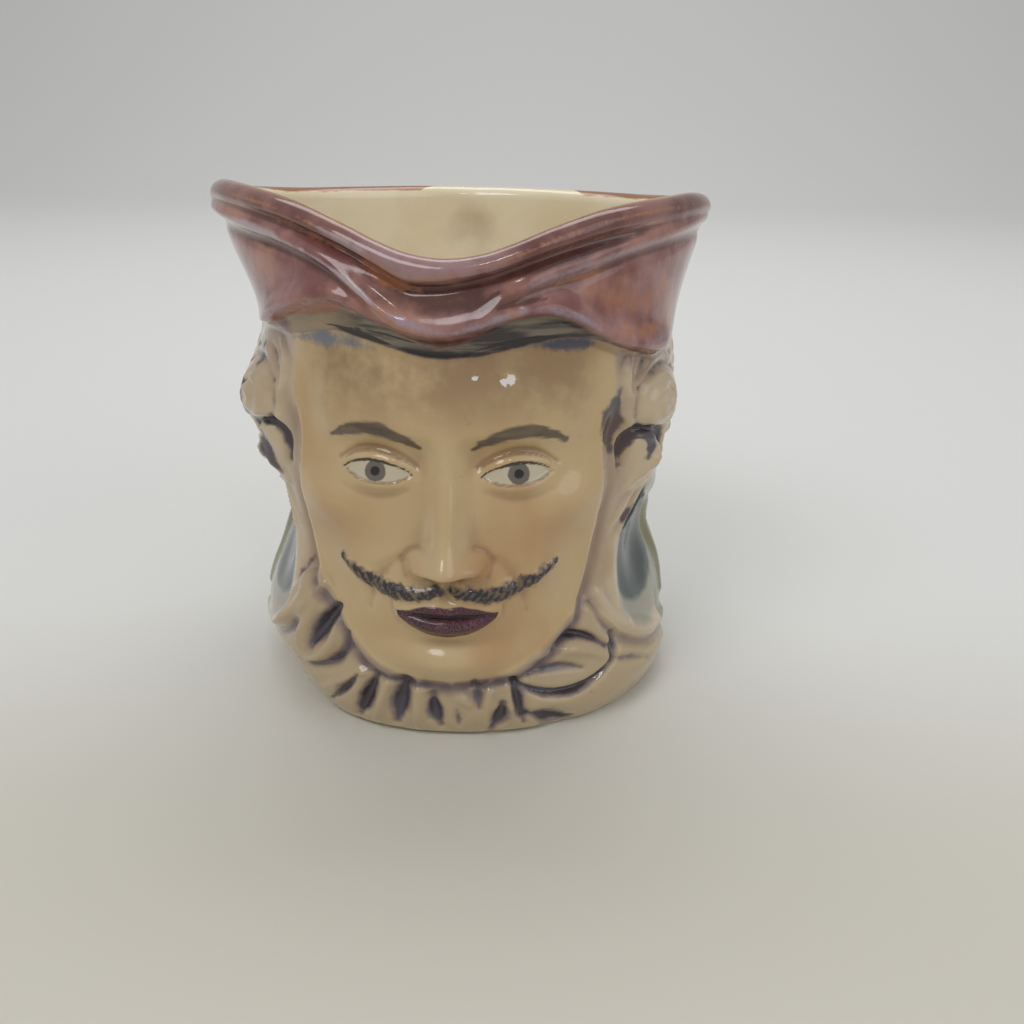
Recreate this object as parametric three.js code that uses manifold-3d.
// A character jug: a small slip-cast drinking mug shaped as the head of a moustached cavalier.
// The face looks along -Y, the tips of the hat point along X, and the handle stands off the back, along +Y.
import * as THREE from "three";
import { ParametricGeometry } from "three/addons/geometries/ParametricGeometry.js";
import { mergeVertices } from "three/addons/utils/BufferGeometryUtils.js";
import Module from "manifold-3d";

// Driving dimensions, in millimetres.
const HEIGHT = 84; // from the table to the tips of the hat
const BODY_WIDTH = 74; // across the coat, side to side
const BODY_DEPTH = 73; // from the ruff to the back of the coat
const HAT_SPAN = 83; // from tip to tip of the hat
const WALL = 3.6; // thickness of the cast wall
const LIP = 4.2; // thickness of the rolled edge of the hat, which is the rim that one drinks from
const FLOOR = 5; // thickness of the bottom inside
const FLOOR_ROUND = 7; // radius of the corner between the floor and the wall inside
const FOOT_WIDTH = 7; // width of the ring that the jug stands on
const FOOT_RECESS = 1.2; // depth of the hollow inside the ring
const FOOT_ROUND = 1; // rounding of the outer edge of the foot
const HANDLE_WIDTH = 9; // across the handle
const HANDLE_THICKNESS = 6.6; // through the handle, in its own plane
const HANDLE_REACH = 23; // from the back of the neck to the outside of the handle
const HANDLE_TOP_SHARE = 0.863; // height of the middle of the upper root, as a share of HEIGHT
const HANDLE_BOTTOM_SHARE = 0.262; // height of the middle of the lower root, likewise
const DIMPLE_RADIUS = 5; // the shallow pit inside, where the slip drew into the handle
const DIMPLE_DEPTH = 1.2;

// How finely the surfaces are divided.
const FRONT_COLUMNS = 27; // on each side of the face, crowding towards its middle
const BACK_COLUMNS = 15; // on each side of the handle, two to each lock of hair
const CROWDING = 0.34; // how much the front columns crowd, from 0 to 1
const HEAD_ROWS = 25;
const HAT_ROWS = 10;
const LIP_ROWS = 4;
const INNER_ROWS = 7;
const FLOOR_ROWS = 3;
const HANDLE_SIDES = 14;
const HANDLE_STEPS = 22;
const CURVE_STEPS = 8; // short straight pieces in each carved line

// Carved forms are sized in hundredths of the height. In them, s runs round the jug from the middle
// of the face, towards +X, and h runs up from the table.
const UNIT = HEIGHT / 100;
const HANDLE_TOP = HEIGHT * HANDLE_TOP_SHARE;
const HANDLE_BOTTOM = HEIGHT * HANDLE_BOTTOM_SHARE;
const ROUND = 42; // the radius at which s is measured, so that s is the angle times ROUND
const BACK = Math.PI * ROUND; // s at the middle of the back

const clamp = (x, low = 0, high = 1) => Math.min(high, Math.max(low, x));
const mix = (a, b, t) => a + (b - a) * t;
const bell = (x, width) => Math.exp(-((x / width) ** 2));
const smooth = (low, high, x) => {
  const t = clamp((x - low) / (high - low));
  return t * t * (3 - 2 * t);
};

// A smooth curve through [place, value] pairs (Catmull-Rom), held level beyond both ends.
function through(points, x) {
  const last = points.length - 1;
  if (x <= points[0][0]) return points[0][1];
  if (x >= points[last][0]) return points[last][1];
  const i = points.findIndex(([place]) => place > x) - 1;
  const slope = (k) => {
    const [a, b] = [points[Math.max(k - 1, 0)], points[Math.min(k + 1, last)]];
    return (b[1] - a[1]) / (b[0] - a[0]);
  };
  const [x0, y0] = points[i];
  const [x1, y1] = points[i + 1];
  const span = x1 - x0;
  const t = (x - x0) / span;
  return (
    y0 * (1 + 2 * t) * (1 - t) ** 2 +
    y1 * t * t * (3 - 2 * t) +
    span * t * (1 - t) * (slope(i) * (1 - t) - slope(i + 1) * t)
  );
}

// The heights of the hat's lower edge, at s.
const HAT_EDGE = [
  [-132, 73.5], [-90, 73], [-60, 73.6], [-48, 75], [-40, 76.2], [-33, 76.2], [-26, 77.6],
  [-20, 78.6], [-12, 77.2], [-5, 75.6], [0, 75.2], [6, 75.8], [13, 77.2], [20, 78.2],
  [26, 77.4], [32, 75], [41, 72.2], [50, 72.8], [62, 73], [90, 73], [132, 73.5],
];
// The crest of the brim's fold over the dark band, arched on both sides of the middle.
const FOLD = [
  [-132, 74], [-60, 74.4], [-48, 75.2], [-40, 77.6], [-33, 80.6], [-27, 83.2], [-22, 84.8],
  [-17, 85], [-12, 82.8], [-7, 80.8], [-1, 79.9], [5, 81.2], [9, 82.8], [13, 83.6], [17, 83.5],
  [21, 82], [25, 79.6], [31, 76.6], [37, 74.8], [44, 73.4], [60, 74], [132, 74],
];
// The ridge that sweeps up to each tip of the hat.
const SWEEP = [
  [-132, 90.4], [-90, 91.6], [-70, 94], [-60, 95.2], [-48, 95.3], [-39, 94.8], [-31.6, 94.2],
  [-25.4, 92.7], [-21, 91.2], [-17, 89.2], [-13, 86.4], [-9, 83.2], [-4, 80.6], [4, 81.6],
  [9.4, 86], [15, 88.5], [21.6, 90.2], [27.2, 91.7], [33.6, 93.2], [45.2, 94.3], [60, 94.6],
  [70, 93.4], [90, 91.4], [132, 90.4],
];
// The rim, which dips over the face and climbs to the two tips, one a little higher than the other.
const RIM = [
  [-132, 95.2], [-92, 96.2], [-75, 97.8], [-64, 99.7], [-56, 100.9], [-46, 101.2], [-36, 100.8],
  [-27, 99.6], [-18, 97], [-11, 94.4], [-6, 92.8], [0, 92.1], [6, 92.8], [11, 94.3], [18, 96.7],
  [27, 98.9], [36, 99.8], [46, 100], [56, 99.8], [64, 98.8], [75, 97.2], [92, 96], [132, 95.2],
];
// How far the rolled lip comes down from the rim: furthest in the dip.
const LIP_DROP = [
  [-60, 3.2], [-17, 3], [-11, 3.5], [-6, 4.4], [-2, 3.9], [4, 3.2], [12, 3.1], [30, 3.6], [60, 3.2],
];
const hatEdge = (s) => through(HAT_EDGE, s);
const rim = (s) => through(RIM, s);

// Half widths of the body at h below the hat, as shares of BODY_WIDTH or BODY_DEPTH halved.
const SIDE_SHARE = [
  [0, 0.965], [5, 0.995], [10, 1], [20, 0.975], [37, 0.905], [50, 0.935], [62, 0.96], [72, 0.93],
];
const FRONT_SHARES = [
  [0, 0.965],
  [5, 1],
  [12, 0.985],
  [36, 0.955],
  [60, 0.965],
  [72, 0.95],
];
const PLAN_POWER = 2.12; // how square the plan is: 2 is a plain ellipse
const BRIM_POWER = 1.62; // the plan of the rim, which comes to a point at each side

// How the hat widens, from 0 at its lower edge to 1 at its rim, as a share of the way out to its tips.
const FLARE = [
  [0, 0],
  [0.3, 0.27],
  [0.65, 0.69],
  [1, 1],
];
const FRONT_FLARE = 3.4; // how much further out the rim is than the hat's edge at the front and back

// The hat sits a little to one side: how far towards +X, at h.
const LEAN = [
  [58, 0],
  [76, 1.3],
  [88, 0.2],
  [100, -0.4],
];

// Where the body swells or falls in on one side only: centre, half width, half height and rise.
const LOPSIDED = [
  { name: "base beside the loop", s: -45, h: -2, w: 18, t: 9.5, rise: -8.4 },
  { name: "neck on that side", s: -57, h: 38, w: 15, t: 12, rise: -4.4 },
  { name: "coat on that side", s: -62, h: 24, w: 9, t: 8, rise: -1.8 },
  { name: "lower curl on that side", s: -46, h: 50, w: 9, t: 8, rise: -1.2 },
  { name: "coat on the other side", s: 60, h: 32, w: 14, t: 7, rise: -1.6 },
  { name: "collar on the other side", s: 64, h: 41, w: 10, t: 7, rise: 1.8 },
  { name: "upper curl on the other side", s: 58, h: 61, w: 8, t: 8, rise: -1.3 },
];
const dome = (s, h, d) => d.rise * bell(s - d.s, d.w) * bell(h - d.h, d.t);

// The plain shape under the carving: the distance from the jug's axis, in millimetres.
function form(s, h) {
  const angle = s / ROUND;
  const edge = hatEdge(s);
  const up = clamp((h - edge) / (rim(s) - edge));
  const low = Math.min(h, edge);
  const out = through(FLARE, up);
  const side = mix((BODY_WIDTH / 2) * through(SIDE_SHARE, low), HAT_SPAN / 2, out);
  const front = (BODY_DEPTH / 2) * through(FRONT_SHARES, low) + FRONT_FLARE * UNIT * out;
  const power = mix(PLAN_POWER, BRIM_POWER, out);
  const across = Math.abs(Math.sin(angle)) / side;
  const along = Math.abs(Math.cos(angle)) / front;
  const lean = through(LEAN, h) * Math.sin(angle);
  const swell = LOPSIDED.reduce((sum, item) => sum + dome(s, h, item), 0);
  return (across ** power + along ** power) ** (-1 / power) + (lean + swell) * UNIT;
}

// Rounded bumps and hollows of the head: centre, half width, half height and rise.
const DOMES = [
  { name: "front of the face", s: 0, h: 44, w: 20, t: 26, rise: 1.8 },
  { name: "forehead", s: 0, h: 68.5, w: 18, t: 6, rise: 1.3 },
  { name: "ball of the nose", s: 0, h: 38.9, w: 3.4, t: 2.6, rise: 0.9 },
  { name: "mound of the mouth", s: 0, h: 28.8, w: 11, t: 7.5, rise: 2.1 },
  { name: "upper lip", s: 0, h: 29.3, w: 7, t: 1.5, rise: 1.3 },
  { name: "lower lip", s: 0, h: 25.4, w: 6.5, t: 1.9, rise: 1.9 },
  { name: "groove over the chin", s: 0, h: 21.4, w: 7.5, t: 1.7, rise: -1 },
  { name: "chin", s: 0, h: 17.6, w: 8.5, t: 4.2, rise: 3 },
  { name: "petal of the ruff", s: -24.5, h: 10, w: 7.5, t: 7, rise: 1.3 },
  { name: "bow of the ruff", s: 37, h: 9, w: 19, t: 8, rise: 1.7 },
];
// Those that are on both sides alike.
const TWIN_DOMES = [
  { name: "eye socket", s: 12.2, h: 55.2, w: 9.2, t: 5.6, rise: -3.3 },
  { name: "inner corner of the socket", s: 5.6, h: 55.8, w: 2.8, t: 3.6, rise: -1.2 },
  { name: "eyeball", s: 12.2, h: 54.2, w: 4.8, t: 3.1, rise: 3.4 },
  { name: "ridge of the brow", s: 11.5, h: 61.6, w: 8.5, t: 2.4, rise: 1.5 },
  { name: "cheekbone", s: 21.5, h: 48, w: 7.5, t: 5, rise: 2 },
  { name: "cheek", s: 15, h: 38, w: 7.5, t: 7.5, rise: 1.3 },
  { name: "hollow under the cheekbone", s: 23, h: 34, w: 5, t: 8, rise: -0.8 },
  { name: "temple", s: 27, h: 62, w: 4.5, t: 8, rise: -1.2 },
  { name: "wing of the nose", s: 4.5, h: 37.8, w: 2.2, t: 2.3, rise: 3.4 },
  { name: "upper curl", s: 43.5, h: 62, w: 7.8, t: 7.4, rise: 4.2 },
  { name: "side of the upper curl", s: 55, h: 61, w: 8, t: 8, rise: 2.4 },
  { name: "lower curl", s: 44.5, h: 50.8, w: 6.6, t: 5.2, rise: 2.8 },
  { name: "hollow before the curls", s: 32.2, h: 59.2, w: 2.5, t: 5.2, rise: -1.2 },
  { name: "hollow of the lapel", s: 47, h: 28, w: 7.6, t: 9.6, rise: -1.9 },
];

// Raised and sunk lines of the head: a bent stroke from one end to the other, its half width and rise.
const STROKES = [
  { name: "slot of the loop", from: [-28, 15.2], bend: [-26, 19.6], to: [-21.4, 25.2], w: 1.6, rise: -2.8 },
  { name: "foot of the loop", from: [-18, 25.6], bend: [-17.8, 14.2], to: [-27.6, 11.6], w: 1.3, rise: -1.4 },
  { name: "first slot", from: [-17, 12.2], bend: [-20, 8], to: [-23.8, 4.4], w: 1.1, rise: -1.6 },
  { name: "second slot", from: [-13.4, 12.4], bend: [-15.6, 7], to: [-17.8, 2.4], w: 1.4, rise: -2.1 },
  { name: "third slot", from: [-7.8, 12.8], bend: [-9, 7.4], to: [-9.8, 2.8], w: 1.7, rise: -2.1 },
  { name: "fourth slot", from: [-2.8, 9.6], bend: [-2.8, 6], to: [-1.4, 2.8], w: 1.4, rise: -2 },
  { name: "fifth slot", from: [4.6, 13.2], bend: [5.2, 10.4], to: [5.6, 7.4], w: 1.1, rise: -1.2 },
  { name: "sixth slot", from: [9.8, 7.8], bend: [9.8, 4.8], to: [8, 1.8], w: 1.4, rise: -2 },
  { name: "seventh slot", from: [11.6, 13], bend: [12.4, 8], to: [14, 2.6], w: 1.2, rise: -1.7 },
  { name: "slot under the bow", from: [14.6, 4.8], bend: [18.6, 3.4], to: [23, 1.8], w: 1.7, rise: -2.1 },
  { name: "arch over the bow", from: [19, 17.6], bend: [23.2, 22.8], to: [30.6, 15.4], w: 1.1, rise: -1.7 },
  { name: "fold of the bow", from: [12, 12.2], bend: [21.4, 4.6], to: [31.6, 12.4], w: 1.1, rise: -2 },
  { name: "loop outside", from: [-24.8, 29], bend: [-32.4, 21.6], to: [-30.6, 12.4], w: 1.5, rise: 1.6 },
  { name: "loop inside", from: [-30, 12.2], bend: [-21.8, 13.2], to: [-20.4, 24], w: 1.3, rise: 1.7 },
  { name: "second pleat", from: [-10.8, 12.8], bend: [-12.4, 7.4], to: [-14, 2.4], w: 1.1, rise: 1.2 },
  { name: "third pleat", from: [-5.4, 12.8], bend: [-6, 7.6], to: [-5.6, 2.2], w: 1.2, rise: 1.2 },
  { name: "pleat of the bow", from: [16.2, 17.2], bend: [22.4, 19], to: [29, 14.2], w: 1.1, rise: 1 },
];
// Those that are on both sides alike.
const TWIN_STROKES = [
  { name: "fold of the cheek", from: [8.2, 38.4], bend: [13, 34.6], to: [14, 27.4], w: 1.5, rise: -0.7 },
  { name: "jaw", from: [30, 41], bend: [29, 24], to: [13, 13.6], w: 2.6, rise: 0.5 },
  { name: "moustache", from: [1.3, 32.9], bend: [8.6, 29.6], to: [19.4, 36.6], w: 1.5, rise: 1.2 },
  { name: "hook of the curl", from: [35, 51.6], bend: [34.2, 59.4], to: [40.4, 58.2], w: 1.6, rise: -2 },
  { name: "end of the hook", from: [40.4, 58.2], bend: [47.4, 57], to: [44.6, 51], w: 1.6, rise: -2 },
  { name: "tip of the curl", from: [44.6, 53.6], bend: [42.4, 50.4], to: [37.6, 46.4], w: 1.9, rise: 1.3 },
  { name: "edge of the curl", from: [57.5, 52], bend: [55, 44.6], to: [39, 46], w: 1.5, rise: 0.9 },
  { name: "upper groove", from: [52.6, 67.6], bend: [57.6, 60.2], to: [48.6, 55.6], w: 1.2, rise: -0.9 },
  { name: "lock under the hat", from: [36.6, 73.6], bend: [33.2, 70.4], to: [34.8, 65.8], w: 1.5, rise: 1 },
  { name: "strand of the neck", from: [46, 45.2], bend: [42.4, 41.2], to: [37.6, 36.8], w: 1.5, rise: 1 },
  { name: "edge of the lapel", from: [30.4, 26.4], bend: [34.6, 13.4], to: [59, 10.6], w: 2.2, rise: 1.4 },
  { name: "under the lapel", from: [28, 25], bend: [32.8, 10.8], to: [58, 8], w: 2, rise: -1.1 },
  { name: "front of the lapel", from: [38, 38], bend: [31.4, 31], to: [37.4, 18.6], w: 1.8, rise: 0.8 },
  { name: "back of the lapel", from: [50, 40.4], bend: [62, 36], to: [62.5, 14], w: 2.2, rise: 1.2 },
];

// The top of the ruff follows the jaw, and falls away under the lapels.
const RUFF_TOP = [
  [-72, 2], [-58, 7], [-46, 12], [-38, 18.5], [-32.5, 28], [-27, 31], [-22.5, 28], [-18, 21],
  [-13, 16.2], [-6, 13.8], [0, 13.4], [7, 13.8], [12, 15.4], [17, 19], [22, 24], [27, 25.6],
  [31, 21.6], [37, 15.6], [50, 10], [58, 7], [72, 2],
];
const RUFF_RISE = 1.3;
const ruff = (s, h) => RUFF_RISE * smooth(1.4, -1.8, h - through(RUFF_TOP, s));

// The edge of the face: a plain egg, narrower at the jaw.
const FACE_MIDDLE = 52;
const FACE_HALF_WIDTH = 30.4;
const FACE_HALF_HEIGHT = 41;
const FACE_CHIN = 14;
const FACE_RISE = 1.2;
const FACE_GROOVE = 1.1; // depth of the groove all round the face, below the temples
const faceWidth = (h) => {
  const t = clamp((h - FACE_MIDDLE) / FACE_HALF_HEIGHT, -1, 0);
  return FACE_HALF_WIDTH * Math.sqrt(1 - t * t) ** 0.85;
};

// How far inside the edge of the face a place is: negative outside.
const faceDepth = (s, h) => Math.min(faceWidth(h) - Math.abs(s), h - FACE_CHIN);

function face(s, h) {
  const depth = faceDepth(s, h);
  const inside = smooth(-1.4, 1.6, depth);
  const groove = FACE_GROOVE * bell(depth + 2, 1.5) * smooth(72, 62, h);
  return FACE_RISE * inside - groove + nose(s, h) * mix(0.3, 1, inside);
}

// The nose grows from its root to its tip, then turns under.
const NOSE_ROOT = 58;
const NOSE_TIP = 38.6;
const NOSE_UNDER = 35.4;
const NOSE_RISE = 7.8;
function nose(s, h) {
  const down = clamp((NOSE_ROOT - h) / (NOSE_ROOT - NOSE_TIP));
  const rise = 1 + (NOSE_RISE - 1) * down ** 1.3;
  const ends = smooth(NOSE_ROOT + 5, NOSE_ROOT - 1, h) * smooth(NOSE_UNDER - 0.6, NOSE_TIP - 0.4, h);
  const half = mix(2.3, 3.4, down);
  return rise * ends * Math.exp(-(Math.abs(s / half) ** 2.2));
}

// The distance from a point to a bent line, and how far along the line its nearest point is.
function reach(s, h, { from, bend, to }) {
  let best = [Infinity, 0];
  const at = (t, k) => from[k] * (1 - t) ** 2 + bend[k] * 2 * t * (1 - t) + to[k] * t * t;
  for (let i = 0; i < CURVE_STEPS; i++) {
    const [t0, t1] = [i / CURVE_STEPS, (i + 1) / CURVE_STEPS];
    const [ax, ay, bx, by] = [at(t0, 0), at(t0, 1), at(t1, 0), at(t1, 1)];
    const length = (bx - ax) ** 2 + (by - ay) ** 2;
    const share = clamp(((s - ax) * (bx - ax) + (h - ay) * (by - ay)) / length);
    const distance = Math.hypot(s - mix(ax, bx, share), h - mix(ay, by, share));
    if (distance < best[0]) best = [distance, mix(t0, t1, share)];
  }
  return best;
}

// A stroke tapers to both ends.
function stroke(s, h, line) {
  const [distance, along] = reach(s, h, line);
  const thin = 0.45 + 0.55 * Math.sin(Math.PI * clamp(along, 0.06, 0.94));
  return line.rise * thin * bell(distance, line.w * thin);
}

// The sum of one kind of form: the single ones, and the twins on both sides.
const summed = (shape, singles, twins) => (s, h) =>
  singles.reduce((sum, item) => sum + shape(s, h, item), 0) +
  twins.reduce((sum, item) => sum + shape(Math.abs(s), h, item), 0);
const domes = summed(dome, DOMES, TWIN_DOMES);
const strokes = summed(stroke, STROKES, TWIN_STROKES);

// Wavy locks from the hat down to the collar, behind the curls and round the back.
const LOCK_STEP = BACK / 15; // a whole number of locks goes round the back
const LOCK_RISE = 1.5;
const LOCK_TIP = 1.4; // how much more the locks stand out at their ends
const LOCK_SINK = 0.4; // how deep the hollows between them are
const HAIR_SIDE = 56; // s where the hair behind the curls starts
const HAIR_END = 49.5; // where the locks end beside the curls
const NAPE = 44; // where they end at the back
const WAVE_RISE = 1.8; // how far the locks wave sideways
const WAVE_RATE = 0.19; // radians of a wave in each hundredth of the height

// How far a lock has waved sideways at h.
const wave = (s, h) => WAVE_RISE * Math.sin(h * WAVE_RATE) * Math.sign(s);

function hair(s, h) {
  const round = Math.abs(s);
  const end = mix(HAIR_END, NAPE, smooth(HAIR_SIDE, HAIR_SIDE + 20, round));
  const behind = smooth(HAIR_SIDE - 2, HAIR_SIDE + 8, round) * smooth(end - 1, end + 3, h);
  const lock = Math.abs(Math.cos((Math.PI * (s + wave(s, h))) / LOCK_STEP)) ** 0.7;
  return behind * (lock * (LOCK_RISE + LOCK_TIP * bell(h - end - 4, 4)) - LOCK_SINK);
}

// A rolled collar behind the neck, and soft folds below it.
const COLLAR_H = 37.5;
const COLLAR_RISE = 1.5;
const COAT_FOLD = 0.6;
const COAT_STEP = 22;
function coat(s, h) {
  const behind = smooth(58, 68, Math.abs(s));
  const collar = COLLAR_RISE * bell(h - COLLAR_H, 3.2) - 0.8 * bell(h - COLLAR_H + 4.9, 1.6);
  const fold = COAT_FOLD * Math.cos((2 * Math.PI * s) / COAT_STEP) * smooth(33, 25, h);
  return behind * (collar + fold);
}

// The hat: a band, the brim's fold over it, a ridge that sweeps up to each tip, and a rolled lip.
const BAND_RISE = 1.2;
const ROLL_RISE = 2.9;
const ROLL_ABOVE = 3; // half width of the fold above its crest
const ROLL_BELOW = 1.5; // and below it
const RIDGE_RISE_LEFT = 1.4; // towards -X
const RIDGE_RISE_RIGHT = 0.7;
const RIDGE_HOLLOW = 0.5; // depth of the hollow under the ridge
const LIP_RISE = 1.2;
const LIP_GROOVE = 1.1; // depth of the groove under the lip
function hat(s, h) {
  const round = Math.abs(s);
  const over = h - hatEdge(s);
  const fold = h - through(FOLD, s);
  const sweep = h - through(SWEEP, s);
  const under = rim(s) - h;
  const front = smooth(60, 34, round);
  const band = BAND_RISE * front * smooth(-0.4, 0.8, over);
  const plump = bell(fold, fold > 0 ? ROLL_ABOVE : ROLL_BELOW) * smooth(-0.6, 1, over);
  const roll = ROLL_RISE * mix(0.15, 1, front) * plump;
  const rise = mix(RIDGE_RISE_LEFT, RIDGE_RISE_RIGHT, smooth(-6, 6, s)) * smooth(4, 12, round);
  const ridge = rise * bell(sweep, sweep > 0 ? 1.9 : 1);
  const hollow = RIDGE_HOLLOW * smooth(2, 10, round) * bell(sweep + 2.4, 1.3);
  const drop = through(LIP_DROP, s);
  const lip = LIP_RISE * smooth(drop + 0.3, drop - 0.5, under) - LIP_GROOVE * bell(under - drop - 1.1, 1);
  return band + roll + ridge - hollow + lip;
}

// All the carving below the hat at one place.
const head = (s, h) => face(s, h) + domes(s, h) + strokes(s, h) + hair(s, h) + coat(s, h) + ruff(s, h);

const EDGE_BELOW = 0.8; // the head's carving ends this far below the hat's edge
const EDGE_ABOVE = 0.5; // and the hat's starts this far above it

function outside(s, h) {
  const edge = hatEdge(s);
  const up = smooth(edge - EDGE_BELOW, edge + EDGE_ABOVE, h);
  const carving = up >= 1 ? hat(s, h) : mix(head(s, h), hat(s, h), up);
  return form(s, h) + carving * UNIT;
}

// The inside follows the plain shape, one wall in from it, with a shallow pit at the handle's root.
function inside(s, h) {
  const back = Math.hypot((Math.PI - Math.abs(s / ROUND)) * (BODY_DEPTH / 2), h * UNIT - HANDLE_TOP);
  const pit = DIMPLE_DEPTH * Math.exp(-((back / DIMPLE_RADIUS) ** 4));
  return form(s, h) - WALL + pit;
}

// The rings of the jug's surface, from the middle of the underside up the outside, over the lip and
// down to the middle of the floor. Each gives [distance from the axis, height, s] for a column's s:
// in the hair, the column waves with the locks, so that each lock keeps its crest.
function rings() {
  const list = [];
  list.push((s) => [0, FOOT_RECESS, s]);
  list.push((s) => [form(s, 0) - FOOT_WIDTH - FOOT_RECESS, FOOT_RECESS, s]);
  list.push((s) => [form(s, 0) - FOOT_WIDTH, 0, s]);
  list.push((s) => [outside(s, 0) - FOOT_ROUND, 0, s]);
  const start = FOOT_ROUND / UNIT;
  for (let i = 0; i <= HEAD_ROWS; i++) {
    list.push((s) => {
      const h = mix(start, hatEdge(s) - EDGE_BELOW, i / HEAD_ROWS);
      const inHair = smooth(HAIR_SIDE, HAIR_SIDE + 12, Math.abs(s)) * smooth(NAPE - 8, NAPE, h);
      const waved = s - wave(s, h) * inHair;
      return [outside(waved, h), h * UNIT, waved];
    });
  }
  const lipHalf = LIP / 2;
  for (let i = 0; i <= HAT_ROWS; i++) {
    list.push((s) => {
      const h = mix(hatEdge(s) + EDGE_ABOVE, rim(s) - lipHalf / UNIT, i / HAT_ROWS);
      return [outside(s, h), h * UNIT, s];
    });
  }
  for (let i = 1; i <= LIP_ROWS; i++) {
    list.push((s) => {
      const base = rim(s) - lipHalf / UNIT;
      const turn = (Math.PI * i) / LIP_ROWS;
      const radius = outside(s, base) - lipHalf * (1 - Math.cos(turn));
      return [radius, base * UNIT + lipHalf * Math.sin(turn), s];
    });
  }
  for (let i = 1; i <= INNER_ROWS; i++) {
    list.push((s) => {
      const high = rim(s) * UNIT - lipHalf;
      const z = mix(high, FLOOR + FLOOR_ROUND, i / INNER_ROWS);
      const lipInside = outside(s, high / UNIT) - LIP;
      const settle = smooth(high, high - 2 * LIP, z);
      return [mix(lipInside, inside(s, z / UNIT), settle), z, s];
    });
  }
  for (let i = 1; i <= FLOOR_ROWS; i++) {
    list.push((s) => {
      const turn = ((Math.PI / 2) * i) / FLOOR_ROWS;
      const radius = inside(s, (FLOOR + FLOOR_ROUND) / UNIT) - FLOOR_ROUND * (1 - Math.cos(turn));
      return [radius, FLOOR + FLOOR_ROUND * (1 - Math.sin(turn)), s];
    });
  }
  list.push((s) => [0, FLOOR, s]);
  return list;
}

// The columns' places: crowded round the face, and on the crests and hollows of the locks behind it.
const BACK_STEP = LOCK_STEP / 2;
const FRONT_END = BACK - BACK_COLUMNS * BACK_STEP;
function column(i) {
  const place = Math.abs(i) / FRONT_COLUMNS;
  if (place > 1) return Math.sign(i) * (FRONT_END + (Math.abs(i) - FRONT_COLUMNS) * BACK_STEP);
  return Math.sign(i) * FRONT_END * mix(place, place ** 3, CROWDING);
}

function bodySurface() {
  const list = rings();
  const half = FRONT_COLUMNS + BACK_COLUMNS;
  const surface = (u, v, point) => {
    const i = Math.round(2 * half * u) % (2 * half); // the last column is the first again
    const [radius, height, s] = list[Math.round(v * (list.length - 1))](column(i - half));
    const angle = s / ROUND;
    point.set(radius * Math.sin(angle), -radius * Math.cos(angle), height);
  };
  return new ParametricGeometry(surface, 2 * half, list.length - 1);
}

// The handle: one loop from the hat's back to the coat's back, thicker at its roots.
function handleSurface() {
  const back = (z) => inside(BACK, z / UNIT) + WALL / 2;
  const neck = (BODY_DEPTH / 2) * through(FRONT_SHARES, 50);
  const out = neck + HANDLE_REACH - HANDLE_THICKNESS / 2;
  const span = HANDLE_TOP - HANDLE_BOTTOM;
  const line = new THREE.CatmullRomCurve3(
    [
      [back(HANDLE_TOP), HANDLE_TOP],
      [mix(neck, out, 0.42), HANDLE_TOP + span * 0.035],
      [mix(neck, out, 0.86), HANDLE_TOP - span * 0.08],
      [out, HANDLE_TOP - span * 0.3],
      [mix(neck, out, 0.93), HANDLE_TOP - span * 0.62],
      [mix(neck, out, 0.55), HANDLE_BOTTOM + span * 0.12],
      [back(HANDLE_BOTTOM), HANDLE_BOTTOM],
    ].map(([y, z]) => new THREE.Vector3(0, y, z)),
  );
  // Rows 0 and the last are the centres of the two flat ends, so that the loop is closed.
  const rows = HANDLE_STEPS + 2;
  const surface = (u, v, point) => {
    const row = Math.round(v * rows);
    const t = clamp((row - 1) / HANDLE_STEPS);
    const size = row === 0 || row === rows ? 0 : 1 + 0.35 * (2 * t - 1) ** 6;
    const centre = line.getPointAt(t);
    const way = line.getTangentAt(t);
    const turn = 2 * Math.PI * (u % 1);
    const side = ((size * HANDLE_WIDTH) / 2) * Math.cos(turn);
    const off = ((size * HANDLE_THICKNESS) / 2) * Math.sin(turn);
    point.set(side, centre.y - way.z * off, centre.z + way.y * off);
  };
  return new ParametricGeometry(surface, HANDLE_SIDES, rows);
}

const wasm = await Module();
wasm.setup();

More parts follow.
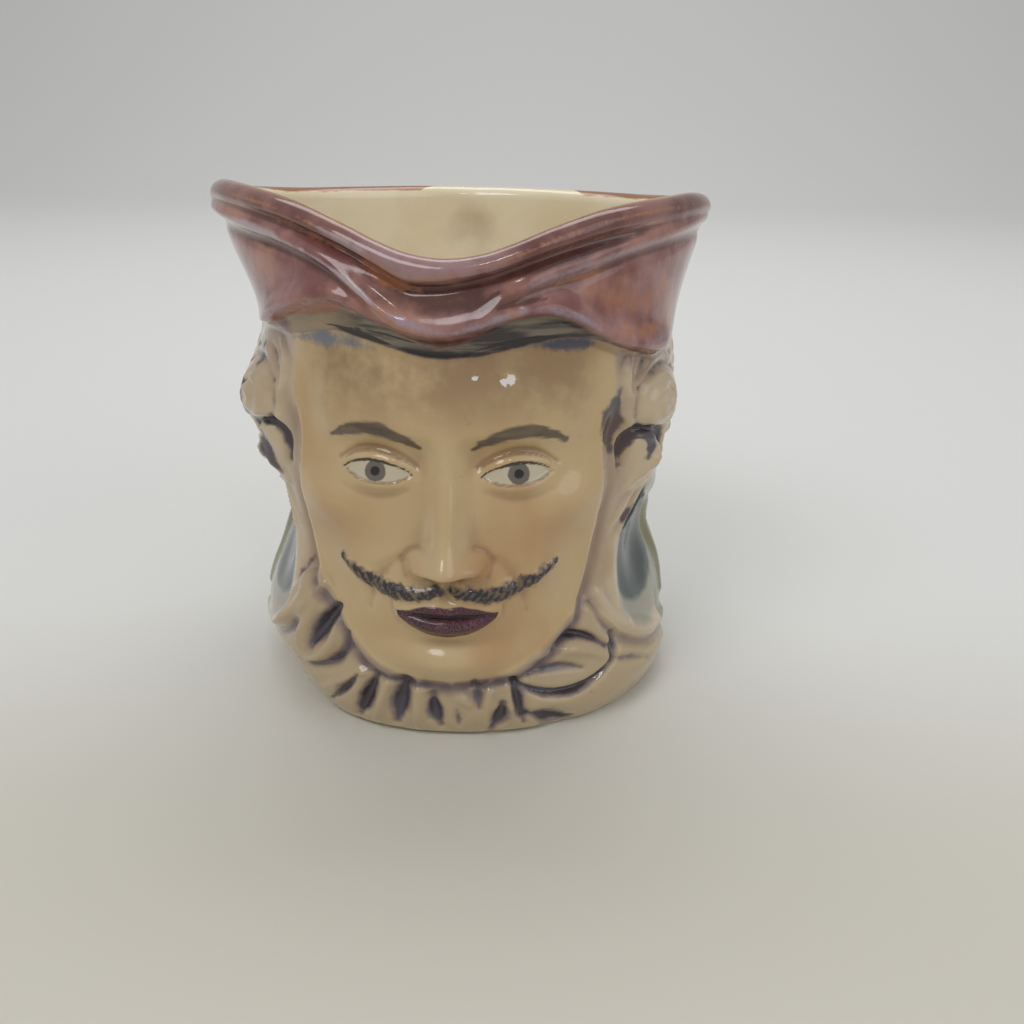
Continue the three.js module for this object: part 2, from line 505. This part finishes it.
// Splits each four-cornered patch along the diagonal that leaves it flatter, so that carved lines run true.
function splitFlat(geometry) {
  const places = geometry.attributes.position;
  const index = geometry.index.array;
  const at = (i) => new THREE.Vector3().fromBufferAttribute(places, i);
  const normal = (a, b, c) => new THREE.Triangle(at(a), at(b), at(c)).getNormal(new THREE.Vector3());
  for (let i = 0; i < index.length; i += 6) {
    const [a, b, d, , c] = index.slice(i, i + 6);
    const now = normal(a, b, d).dot(normal(b, c, d));
    const other = normal(a, b, c).dot(normal(a, c, d));
    if (other > now) index.set([a, b, c, a, c, d], i);
  }
}

// A closed surface as a solid whose faces point out.
function solid(geometry) {
  splitFlat(geometry);
  geometry.deleteAttribute("uv");
  geometry.deleteAttribute("normal");
  const merged = mergeVertices(geometry);
  const corners = merged.index.array;
  const faces = [];
  for (let i = 0; i < corners.length; i += 3) {
    const [a, b, c] = corners.slice(i, i + 3);
    if (a !== b && b !== c && c !== a) faces.push(a, b, c);
  }
  const build = (triangles) =>
    new wasm.Manifold(
      new wasm.Mesh({
        numProp: 3,
        vertProperties: merged.attributes.position.array,
        triVerts: new Uint32Array(triangles),
      }),
    );
  const made = build(faces);
  return made.volume() > 0 ? made : build(faces.reverse());
}

function meshOf(manifold, name, material) {
  const mesh = manifold.getMesh();
  const geometry = new THREE.BufferGeometry();
  geometry.setAttribute("position", new THREE.BufferAttribute(mesh.vertProperties, 3));
  geometry.setIndex(new THREE.BufferAttribute(mesh.triVerts, 1));
  geometry.computeBoundingBox();
  geometry.computeVertexNormals();
  const made = new THREE.Mesh(geometry, material);
  made.name = name;
  return made;
}

const glazed = new THREE.MeshStandardMaterial({ color: 0xc9b48c, roughness: 0.15, metalness: 0 });
const jug = meshOf(solid(bodySurface()).add(solid(handleSurface())), "jug", glazed);

// The origin is under the middle of the jug's box, on the table.
const middle = jug.geometry.boundingBox.getCenter(new THREE.Vector3());
jug.position.set(-middle.x, -middle.y, 0);

const part = new THREE.Group();
part.add(jug);
export default part;
